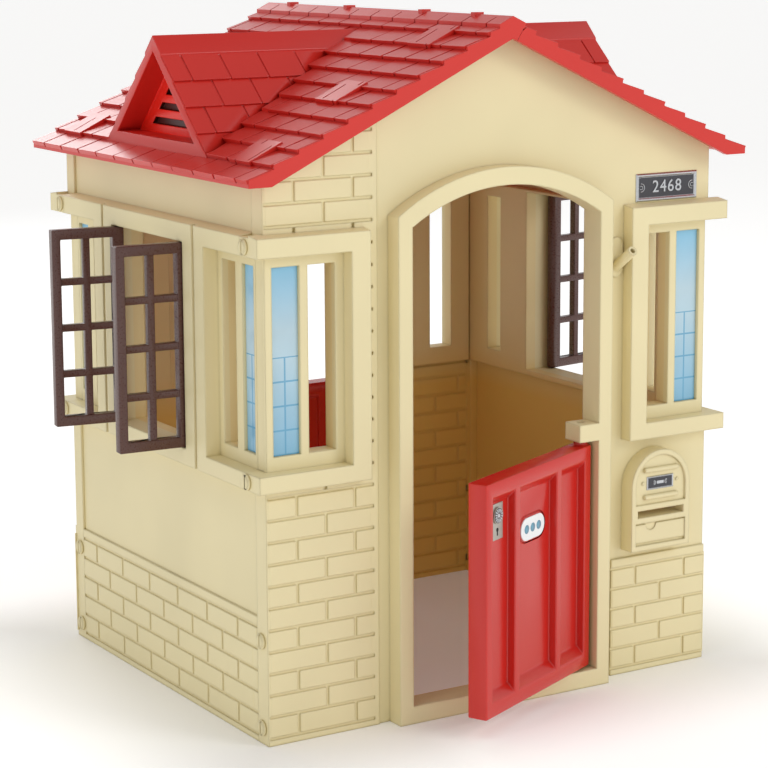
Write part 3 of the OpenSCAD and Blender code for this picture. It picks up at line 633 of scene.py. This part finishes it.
up_slope = Vector((math.cos(ROOF_SLOPE), 0, math.sin(ROOF_SLOPE)))
off_slope = Vector((-math.sin(ROOF_SLOPE), 0, math.cos(ROOF_SLOPE)))
slope_frame = frame_at((-EAVE_X, ROOF_LOW.y, BED_Z), up_slope, Vector((0, 1, 0)), off_slope)
roof_shingle = wedge("roof_shingle", SHINGLE_RUN + 3 * MM, SHINGLE - 4 * MM, 8.6 * MM, 1.6 * MM,
                     2.0 * MM)
dormer_depth = (EAVE_X + DORMER_LOW.x) / math.cos(ROOF_SLOPE)
shingle_mesh = grown("shingle_layer", courses, {
    "Piece": roof_shingle, "Finish": red, "Rows": SHINGLE_ROWS, "Columns": 13,
    "Pitch": SHINGLE_RUN, "Length": SHINGLE, "First": 0.55 * SHINGLE, "Shift": 0.5 * SHINGLE,
    "Run": ROOF_LENGTH, "Gap": 4 * MM, "Tilt": math.radians(1.1), "Keep Out Half": DORMER_HALF,
    "Keep Out Start": dormer_depth, "Keep Out Taper": math.sin(ROOF_SLOPE), "Seed": 7})
bpy.data.objects.remove(roof_shingle)
shingle_mesh.transform(slope_frame)
add_piece(mirrored(shingle_mesh, (1, 0, 0), 0.0), "right_shingles", "house", red)
add_piece(shingle_mesh, "left_shingles", "house", red)

# %% [markdown]
# ## Dormer shingles
# Each dormer has four courses on either slope. They run on past the valley, so the layer is cut
# along the roof's surface, as a roofer cuts shingles to a valley.

# %% Dormer shingles
NO_KEEP_OUT = {"Keep Out Half": -1.0, "Keep Out Start": 0.0, "Keep Out Taper": 0.0}
DORMER_ROWS = 4
DORMER_CAP = 30 * MM
DORMER_RISE = (DORMER_HALF - DORMER_CAP) / DORMER_ROWS * math.sqrt(2)
DORMER_STEP = 5 * MM / math.sqrt(2)


def cut_by_plane(mesh, point, away):
    """Removes what lies on the away side of a plane and closes the cuts."""
    work = bmesh.new()
    work.from_mesh(mesh)
    everything = work.verts[:] + work.edges[:] + work.faces[:]
    bmesh.ops.bisect_plane(work, geom=everything, plane_co=point, plane_no=away, clear_outer=True)
    rims = [edge for edge in work.edges if edge.is_boundary]
    bmesh.ops.holes_fill(work, edges=rims, sides=0)
    work.to_mesh(mesh)
    work.free()


half_turn = math.sqrt(0.5)
foot = Vector((-0.06, DORMER_LOW.y, DORMER_HIGH.z - DORMER_HALF - 5 * MM))
gable_frame = frame_at(foot, Vector((0, half_turn, half_turn)), Vector((-1, 0, 0)),
                       Vector((0, -half_turn, half_turn)))
dormer_run = foot.x - DORMER_LOW.x
dormer_shingle = wedge("dormer_shingle", DORMER_RISE + 2 * MM, SHINGLE - 4 * MM,
                       DORMER_STEP + 1.6 * MM, 1.6 * MM, 1.5 * MM)
dormer_mesh = grown("dormer_layer", courses, {
    "Piece": dormer_shingle, "Finish": red, "Rows": DORMER_ROWS, "Columns": 7,
    "Pitch": DORMER_RISE, "Length": SHINGLE, "First": 0.36 * SHINGLE, "Shift": 0.5 * SHINGLE,
    "Run": dormer_run, "Gap": 4 * MM, "Tilt": math.radians(0.8), "Seed": 3, **NO_KEEP_OUT})
bpy.data.objects.remove(dormer_shingle)
dormer_mesh.transform(gable_frame)
cut_by_plane(dormer_mesh, Vector((-EAVE_X, 0, BED_Z)), -off_slope)
for side, mesh in (("left", dormer_mesh), ("right", mirrored(dormer_mesh, (1, 0, 0), 0.0))):
    back = mirrored(mesh, (0, 1, 0), MID_Y)
    add_piece(mesh, side + "_dormer_front_shingles", "house", red)
    add_piece(back, side + "_dormer_back_shingles", "house", red)

# %% [markdown]
# ## Bricks
# The walls are moulded with courses of brick. The CAD part has the mortar grooves; this layer gives
# every brick a soft cushioned face, as the mould leaves it, so its edges fade into the mortar. The
# same course tree lays them, turned to stand against each wall.

# %% Bricks
COURSE = 36 * MM
BRICK = 108 * MM
JOINT = 5 * MM
BED = 2.2 * MM  # the mortar lies this far behind the brick faces
PLINTH = 12 * MM
COLUMN = 205 * MM
CORNER = 34 * MM  # the side walls' bricks start this far from the front and back
SIDE_RUN = HOUSE_DEPTH - 2 * CORNER
LOW_ROWS = 11  # courses of the column below the window
PANEL_ROWS = 5  # courses of the low panels, and of the column above the window
TOP_ROW = 23
UP = Vector((0, 0, 1))


def brick_cushion():
    """One brick: a low slab with wide sloping edges, its outline a joint smaller than its room."""
    half = (BRICK - JOINT) / 2
    ends = ((JOINT / 2 - 1 * MM, half + 1 * MM, -BED - 0.4 * MM),
            (JOINT / 2 + 1 * MM, half - 1 * MM, 0.6 * MM))
    corners = [(x if near else COURSE - x, y * hand, z) for near in (True, False)
               for hand in (-1, 1) for x, y, z in ends]
    return slab("brick_cushion", corners, BOX_ROWS, 1.0 * MM)


def brick_field(rows, first, shift, run, seed):
    """Courses of cushions on a mortar bed in the XY plane: up the wall is +X, along it +Y."""
    field = grown("brick_field", courses, {
        "Piece": cushion, "Finish": brick_beige, "Rows": rows, "Columns": int(run / BRICK) + 3,
        "Pitch": COURSE, "Length": BRICK, "First": first, "Shift": shift, "Run": run,
        "Gap": JOINT, "Tilt": math.radians(0.25), "Seed": seed, **NO_KEEP_OUT})
    work = bmesh.new()
    work.from_mesh(field)
    bed = [work.verts.new((x, y, z)) for x in (-JOINT / 2, rows * COURSE + JOINT / 2)
           for y in (-3.0 * MM, run) for z in (-BED - 1.2 * MM, -BED)]
    sides = [work.faces.new([bed[i] for i in row]) for row in BOX_ROWS]
    bmesh.ops.recalc_face_normals(work, faces=sides)
    work.to_mesh(field)
    work.free()
    return field


cushion = brick_cushion()
MORTAR_END = HALF_WIDTH - COLUMN + 8 * MM
column_run = HALF_WIDTH - 1 * MM - MORTAR_END
even_joint = HALF_WIDTH - 164 * MM - MORTAR_END
top_row_z = PLINTH + TOP_ROW * COURSE


def on_front(x, z):
    """Frame that stands a brick field on the front wall, its courses running to the left."""
    return frame_at((x, 0, z), UP, Vector((-1, 0, 0)), Vector((0, -1, 0)))


fields = {
    "column_low": (brick_field(LOW_ROWS, even_joint, BRICK / 2, column_run, 11),
                   on_front(-MORTAR_END, PLINTH)),
    "column_high": (brick_field(PANEL_ROWS, even_joint + BRICK / 2, -BRICK / 2, column_run, 12),
                    on_front(-MORTAR_END, top_row_z)),
    "panel": (brick_field(PANEL_ROWS, 45 * MM, BRICK / 2, COLUMN, 13),
              on_front(HALF_WIDTH, PLINTH)),
    "side": (brick_field(PANEL_ROWS, 67 * MM, BRICK / 2, SIDE_RUN, 14),
             frame_at((-HALF_WIDTH, CORNER, PLINTH), UP, Vector((0, 1, 0)), Vector((-1, 0, 0)))),
}
bpy.data.objects.remove(cushion)
half_round = Matrix.Translation((0, HOUSE_DEPTH, 0)) @ Matrix.Rotation(math.pi, 4, "Z")
for name, (mesh, place) in fields.items():
    mesh.transform(place)
    if name == "column_high":
        cut_by_plane(mesh, Vector((-EAVE_X, 0, ROOF_LOW.z)), off_slope)
    opposite = mesh.copy()
    opposite.transform(half_round)
    add_piece(mesh, "bricks_" + name, "house", brick_beige)
    add_piece(opposite, "bricks_" + name + "_far", "house", brick_beige)

# %% [markdown]
# ## Number plate and mailbox badge
# Both are pressed metal: a bright rim that rises and falls again round a sunk panel. The rim is a
# stack of nested rectangles, each given by how far in and how far out it lies.

# %% Number plate and mailbox badge
def pressed_plate(name, node, levels, material):
    """A plate with the outline of a CAD node and a rim; levels are (inset, depth) from its face."""
    low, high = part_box(node)
    work = bmesh.new()
    loops = []
    for inset, depth in levels:
        corners = ((low.x + inset, low.z + inset), (high.x - inset, low.z + inset),
                   (high.x - inset, high.z - inset), (low.x + inset, high.z - inset))
        loops.append([work.verts.new((x, low.y + depth, z)) for x, z in corners])
    for inner, outer in zip(loops[1:], loops):
        for i in range(4):
            work.faces.new((outer[i], outer[(i + 1) % 4], inner[(i + 1) % 4], inner[i]))
    work.faces.new(loops[-1])
    work.faces.new(loops[0][::-1])
    bmesh.ops.recalc_face_normals(work, faces=work.faces)
    bmesh.ops.bevel(work, geom=work.edges[:], offset=0.25 * MM, segments=2, affect="EDGES")
    mesh = bpy.data.meshes.new(name)
    work.to_mesh(mesh)
    work.free()
    piece = show(mesh, name, material)
    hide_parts(node)
    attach(piece, "house")
    print(name, len(mesh.polygons), "faces")
    return piece


def inlay(name, centre, half_x, half_z, thickness, body, material, place=None):
    """A thin bevelled panel facing -Y at centre, or in the frame place."""
    corners = [(x, y, z) for x in (-half_x, half_x) for y in (-thickness, 0.0)
               for z in (-half_z, half_z)]
    source = slab(name + "_source", corners, BOX_ROWS, thickness / 4)
    mesh = source.data.copy()
    bpy.data.objects.remove(source)
    mesh.transform((place or Matrix()) @ Matrix.Translation(centre))
    return add_piece(mesh, name, body, material)


SUNK = 2.1 * MM  # how far the number plate's panel lies behind its rim
RIM = ((0, 3.0 * MM), (0, 2.0 * MM), (2.2 * MM, 0.0), (4.2 * MM, 0.2 * MM), (6.5 * MM, SUNK))
BADGE_DEPTH = 0.6  # the mailbox badge's rim is this share as deep
pressed_plate("number_plate_rim", "number_plate", RIM, bright_metal)
badge_rim = [(inset * 0.45, depth * BADGE_DEPTH) for inset, depth in RIM]
pressed_plate("mailbox_badge_rim", "mailbox_badge", badge_rim, bright_metal)
PLATE_LOW, PLATE_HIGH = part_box("number_plate")
plate_middle = (PLATE_LOW + PLATE_HIGH) / 2
panel_face = PLATE_LOW.y + SUNK
panel_half_x = (PLATE_HIGH.x - PLATE_LOW.x) / 2 - 7 * MM
panel_half_z = (PLATE_HIGH.z - PLATE_LOW.z) / 2 - 7 * MM
inlay("number_plate_panel", (plate_middle.x, panel_face, plate_middle.z), panel_half_x, panel_half_z,
      0.4 * MM, "house", black_enamel)
BADGE_LOW, BADGE_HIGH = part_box("mailbox_badge")
badge_middle = (BADGE_LOW + BADGE_HIGH) / 2
inlay("mailbox_badge_panel", (badge_middle.x, BADGE_LOW.y + 1.26 * MM, badge_middle.z),
      (BADGE_HIGH.x - BADGE_LOW.x) / 2 - 3.2 * MM, (BADGE_HIGH.z - BADGE_LOW.z) / 2 - 3.2 * MM,
      0.3 * MM, "house", black_enamel)
inlay("mailbox_badge_bar", (badge_middle.x, BADGE_LOW.y + 0.96 * MM, badge_middle.z), 7.5 * MM,
      2.6 * MM, 0.5 * MM, "house", bright_metal)

# %% [markdown]
# ## House number and scrolls
# Raised bright figures between two scrolls. The figures are a text curve made into a mesh; the
# scrolls are bent bars, made by sweeping a small ring round an arc.

# %% House number and scrolls
def bent_bar(work, centre, radius, start, end, thickness, steps=14, sides=8):
    """Sweeps a round bar along an arc in the XZ plane and closes its ends."""
    rings = []
    for i in range(steps + 1):
        angle = math.radians(start + (end - start) * i / steps)
        out = Vector((math.cos(angle), 0, math.sin(angle)))
        spine = Vector(centre) + out * radius
        turns = [2 * math.pi * k / sides for k in range(sides)]
        rings.append([work.verts.new(spine + (out * math.cos(t) + Vector((0, 1, 0)) * math.sin(t))
                                     * thickness) for t in turns])
    for near, far in zip(rings, rings[1:]):
        for k in range(sides):
            work.faces.new((near[k], near[(k + 1) % sides], far[(k + 1) % sides], far[k]))
    work.faces.new(rings[0][::-1])
    work.faces.new(rings[-1])


def scrolls(name, middle, face, reach, radius, body, material):
    """A pair of scrolls, opening to the left and to the right, at reach from the middle."""
    work = bmesh.new()
    for hand in (-1, 1):
        centre = (middle.x + hand * (reach + radius * 0.4), face, middle.z)
        facing = 180 if hand > 0 else 0
        bent_bar(work, centre, radius, facing - 100, facing + 100, 0.7 * MM)
        bent_bar(work, centre, radius * 0.45, facing - 140, facing + 140, 0.6 * MM)
    bmesh.ops.recalc_face_normals(work, faces=work.faces)
    for face_made in work.faces:
        face_made.smooth = True
    mesh = bpy.data.meshes.new(name)
    work.to_mesh(mesh)
    work.free()
    return add_piece(mesh, name, body, material)


def figures(name, text, height, place, body, material):
    """Raised figures centred on place, facing -Y."""
    curve = bpy.data.curves.new(name, "FONT")
    curve.body = text
    curve.size = height / 0.72
    curve.space_character = 1.12
    curve.extrude = 0.5 * MM
    curve.bevel_depth = 0.25 * MM
    curve.bevel_resolution = 1
    curve.resolution_u = 5
    curve.align_x = "CENTER"
    curve.align_y = "CENTER"
    holder = bpy.data.objects.new(name, curve)
    bpy.context.scene.collection.objects.link(holder)
    mesh = finished_mesh(holder)
    bpy.data.objects.remove(holder)
    mesh.transform(Matrix.Translation(place) @ Matrix.Rotation(math.pi / 2, 4, "X"))
    return add_piece(mesh, name, body, material)


figure_face = panel_face - 0.9 * MM
figures("house_number", "2468", 21 * MM, (plate_middle.x, figure_face, plate_middle.z), "house",
        bright_metal)
scrolls("number_plate_scrolls", plate_middle, panel_face - 0.4 * MM, panel_half_x - 7 * MM, 7 * MM,
        "house", bright_metal)
scrolls("mailbox_badge_scrolls", badge_middle, BADGE_LOW.y + 0.9 * MM, 12 * MM, 3.6 * MM, "house",
        bright_metal)

# %% [markdown]
# ## Lock rosette and door badge
# The lock plate carries a rosette of petals round a button and a keyhole below it. The petals repeat
# round a circle, so a small geometry tree places them. The pieces are made on a closed door and then
# swung with it, by the angle at which the door stands open.

# %% Lock rosette and door badge
def ring_tree():
    """A geometry tree that sets pieces round a circle in the XZ plane, all pointing outwards."""
    tree = bpy.data.node_groups.new("ring of pieces", "GeometryNodeTree")
    for label, kind in (("Piece", "NodeSocketObject"), ("Finish", "NodeSocketMaterial"),
                        ("Count", "NodeSocketInt"), ("Radius", "NodeSocketFloat")):
        tree.interface.new_socket(label, in_out="INPUT", socket_type=kind)
    tree.interface.new_socket("Geometry", in_out="OUTPUT", socket_type="NodeSocketGeometry")
    given = add(tree, "NodeGroupInput").outputs
    index = add(tree, "GeometryNodeInputIndex").outputs[0]
    part = add(tree, "ShaderNodeMath", {0: index, 1: given["Count"]}, operation="DIVIDE")
    angle = add(tree, "ShaderNodeMath", {0: part.outputs[0], 1: 2 * math.pi}, operation="MULTIPLY")
    sine = add(tree, "ShaderNodeMath", {0: angle.outputs[0]}, operation="SINE")
    cosine = add(tree, "ShaderNodeMath", {0: angle.outputs[0]}, operation="COSINE")
    out = add(tree, "ShaderNodeCombineXYZ", {"X": sine.outputs[0], "Z": cosine.outputs[0]})
    place = add(tree, "ShaderNodeVectorMath", {0: out.outputs[0], "Scale": given["Radius"]},
                operation="SCALE")
    points = add(tree, "GeometryNodePoints", {"Count": given["Count"],
                                              "Position": place.outputs[0]})
    turn = add(tree, "ShaderNodeCombineXYZ", {"Y": angle.outputs[0]})
    piece = add(tree, "GeometryNodeObjectInfo", {"Object": given["Piece"]})
    laid = add(tree, "GeometryNodeInstanceOnPoints",
               {"Points": points.outputs[0], "Instance": piece.outputs["Geometry"],
                "Rotation": turn.outputs[0]})
    whole = add(tree, "GeometryNodeRealizeInstances", {"Geometry": laid.outputs[0]})
    done = add(tree, "GeometryNodeSetMaterial", {"Geometry": whole.outputs[0],
                                                 "Material": given["Finish"]})
    add(tree, "NodeGroupOutput", {"Geometry": done.outputs[0]})
    return tree


def turned_knob(name, profile, sides=40):
    """A mesh turned round the -Y axis from (radius, depth) points, the first and last on the axis."""
    work = bmesh.new()
    loops = []
    for radius, depth in profile:
        if radius == 0:
            loops.append([work.verts.new((0, depth, 0))])
            continue
        angles = [2 * math.pi * k / sides for k in range(sides)]
        loops.append([work.verts.new((radius * math.cos(a), depth, radius * math.sin(a)))
                      for a in angles])
    for near, far in zip(loops, loops[1:]):
        for k in range(sides):
            ring = [near[k % len(near)], near[(k + 1) % len(near)], far[(k + 1) % len(far)],
                    far[k % len(far)]]
            work.faces.new(list(dict.fromkeys(ring)))
    bmesh.ops.recalc_face_normals(work, faces=work.faces)
    for face in work.faces:
        face.smooth = True
    mesh = bpy.data.meshes.new(name)
    work.to_mesh(mesh)
    work.free()
    return mesh


hinge = next(j for j in frame["joints"] if j["child"] == "front_door")
stands_open = -math.radians(hinge["range_deg"][0])
door_frame = Matrix.Translation((hinge["pos_m"][0], hinge["pos_m"][1], 0)) @ \
    Matrix.Rotation(stands_open, 4, "Z")


def on_door(node):
    """Lowest and highest corners of a plate on the door, measured with the door shut."""
    shut = [door_frame.inverted() @ v.co for v in frame["nodes"][node].data.vertices]
    low = Vector([min(v[i] for v in shut) for i in range(3)])
    high = Vector([max(v[i] for v in shut) for i in range(3)])
    return low, high


LOCK_LOW, LOCK_HIGH = on_door("lock_plate")
lock_x = (LOCK_LOW.x + LOCK_HIGH.x) / 2
rosette = (lock_x, LOCK_LOW.y, LOCK_HIGH.z - 20 * MM)
GROUND = ((0, 0.3 * MM), (12.6 * MM, 0.3 * MM), (12.6 * MM, -0.15 * MM), (0, -0.2 * MM))
ground = turned_knob("rosette_ground", GROUND)
ground.transform(door_frame @ Matrix.Translation(rosette))
add_piece(ground, "lock_rosette_ground", "front_door", black_enamel)
petal_corners = [(x * w, y, z) for x in (-1, 1) for y in (-0.9 * MM, 0.3 * MM)
                 for z, w in ((-3.0 * MM, 0.6 * MM), (3.6 * MM, 1.7 * MM))]
petal = slab("petal", petal_corners, BOX_ROWS, 0.3 * MM)
petals = grown("petals", ring_tree(), {"Piece": petal, "Finish": bright_metal, "Count": 14,
                                       "Radius": 8.0 * MM})
bpy.data.objects.remove(petal)
petals.transform(door_frame @ Matrix.Translation(rosette))
add_piece(petals, "lock_petals", "front_door", bright_metal)
BUTTON = ((0, 0.2 * MM), (4.0 * MM, 0.2 * MM), (4.0 * MM, -0.6 * MM), (3.0 * MM, -1.5 * MM),
          (1.5 * MM, -2.0 * MM), (0, -2.1 * MM))
button = turned_knob("lock_button", BUTTON)
button.transform(door_frame @ Matrix.Translation(rosette))
add_piece(button, "lock_button", "front_door", bright_metal)
# the keyhole is a dark disc and slot on the plate, painted shade in place of a hole
KEYHOLE = ((0, 0.4 * MM), (3.4 * MM, 0.4 * MM), (3.4 * MM, -0.25 * MM), (0, -0.3 * MM))
plate_face = LOCK_HIGH.y - 1.5 * MM
keyhole = turned_knob("keyhole", KEYHOLE, 28)
keyhole.transform(door_frame @ Matrix.Translation((lock_x, plate_face, LOCK_LOW.z + 16 * MM)))
add_piece(keyhole, "keyhole_round", "front_door", dark_hole)
inlay("keyhole_slot", (lock_x, plate_face, LOCK_LOW.z + 11 * MM), 1.6 * MM, 4.5 * MM, 0.3 * MM,
      "front_door", dark_hole, door_frame)
SEAL_LOW, SEAL_HIGH = on_door("door_badge")
seal_middle = (SEAL_LOW + SEAL_HIGH) / 2
for i in (-1, 0, 1):
    dot = turned_knob("seal_dot", ((0, 0.2 * MM), (7.5 * MM, 0.2 * MM), (7.5 * MM, -0.2 * MM),
                                   (0, -0.35 * MM)), 32)
    dot.transform(door_frame @ Matrix.Translation((seal_middle.x + i * 20 * MM, SEAL_LOW.y,
                                                   seal_middle.z)))
    add_piece(dot, "door_badge_dot_" + str(i + 2), "front_door", blue_print)

# %% [markdown]
# ## Studio
# A pale floor, a bright sky that dims overhead, a large soft key from the front right, a softbox
# behind and above the house for the sheen of the red shingles, and a small one high on the left for
# a glint on the edges. The paper glows a little, least under and near the house, where the weaker
# glow is in part a painted shadow.

# %% Studio
def softbox(name, place, target, size, power):
    """A square area light at place that faces target."""
    data = bpy.data.lights.new(name, "AREA")
    data.shape = "SQUARE"
    data.size = size
    data.energy = power
    lamp = bpy.data.objects.new(name, data)
    bpy.context.scene.collection.objects.link(lamp)
    lamp.location = place
    lamp.rotation_euler = (Vector(target) - Vector(place)).to_track_quat("-Z", "Y").to_euler()
    return lamp


floor_mesh = bpy.data.meshes.new("floor")
FLOOR = 120.0
SHADOW_REACH = 0.35  # the paper glows least within this distance of the house
floor_mesh.from_pydata([(-FLOOR, -FLOOR, 0), (FLOOR, -FLOOR, 0), (FLOOR, FLOOR, 0), (-FLOOR, FLOOR, 0)],
                       [], [(0, 1, 2, 3)])
floor_mesh.transform(Matrix.Translation((0, 0, -0.5 * MM)))
paper, paper_tree, paper_shader = blank_material("matt studio paper")
fibre = add(paper_tree, "ShaderNodeTexNoise", {"Scale": 3.0})
tone = add(paper_tree, "ShaderNodeMapRange", {"Value": fibre.outputs["Fac"], "To Min": 0.985,
                                              "To Max": 1.015})
paper_colour = add(paper_tree, "ShaderNodeHueSaturation", {"Value": tone.outputs["Result"],
                                                           "Color": colour("#f6f5f3")})
paper_tree.links.new(paper_colour.outputs["Color"], paper_shader.inputs["Base Color"])
paper_shader.inputs["Roughness"].default_value = 0.9
paper_shader.inputs["Specular IOR Level"].default_value = 0.1
spot = add(paper_tree, "ShaderNodeSeparateXYZ",
           {"Vector": add(paper_tree, "ShaderNodeTexCoord").outputs["Object"]})
clear_x = add(paper_tree, "ShaderNodeMath", {0: spot.outputs["X"]}, operation="ABSOLUTE")
past_x = add(paper_tree, "ShaderNodeMath", {0: clear_x.outputs[0], 1: HALF_WIDTH},
             operation="SUBTRACT")
clear_y = off_middle(paper_tree, spot.outputs["Y"])
past_y = add(paper_tree, "ShaderNodeMath", {0: clear_y, 1: MID_Y}, operation="SUBTRACT")
away = add(paper_tree, "ShaderNodeMath", {0: past_x.outputs[0], 1: past_y.outputs[0]},
           operation="MAXIMUM")
# partly painted shadow: the paper's glow is weakest near the house, darkening it there under any lamp
glow_with_painted_shadow = add(paper_tree, "ShaderNodeMapRange", {"Value": away.outputs[0], "From Max": SHADOW_REACH,
                                              "To Min": 0.08, "To Max": 0.42},
           interpolation_type="SMOOTHSTEP")
paper_tree.links.new(glow_with_painted_shadow.outputs["Result"], paper_shader.inputs["Emission Strength"])
paper_shader.inputs["Emission Color"].default_value = colour("#ffffff")
paper.cycles.emission_sampling = "NONE"
show(floor_mesh, "floor", paper)
world = bpy.data.worlds.new("studio sky")
world.use_nodes = True
background = world.node_tree.nodes["Background"]
view_way = add(world.node_tree, "ShaderNodeTexCoord").outputs["Generated"]
height = add(world.node_tree, "ShaderNodeSeparateXYZ", {"Vector": view_way}).outputs["Z"]
dim = add(world.node_tree, "ShaderNodeMapRange", {"Value": height, "From Min": 0.25, "From Max": 0.9,
                                                  "To Min": 0.86, "To Max": 0.38})
world.node_tree.links.new(dim.outputs["Result"], background.inputs["Strength"])
background.inputs["Color"].default_value = colour("#ffffff")
bpy.context.scene.world = world
centre = (0, MID_Y, 0.6)
for lamp, place, size, power in (("key", (2.6, -4.2, 3.4), 2.2, 66),
                                 ("back_sheen", (0.2, 5.6, 3.1), 2.4, 56),
                                 ("edge_glint", (-1.8, -0.6, 3.6), 0.6, 10)):
    softbox(lamp, place, centre, size, power)
print("studio ready")
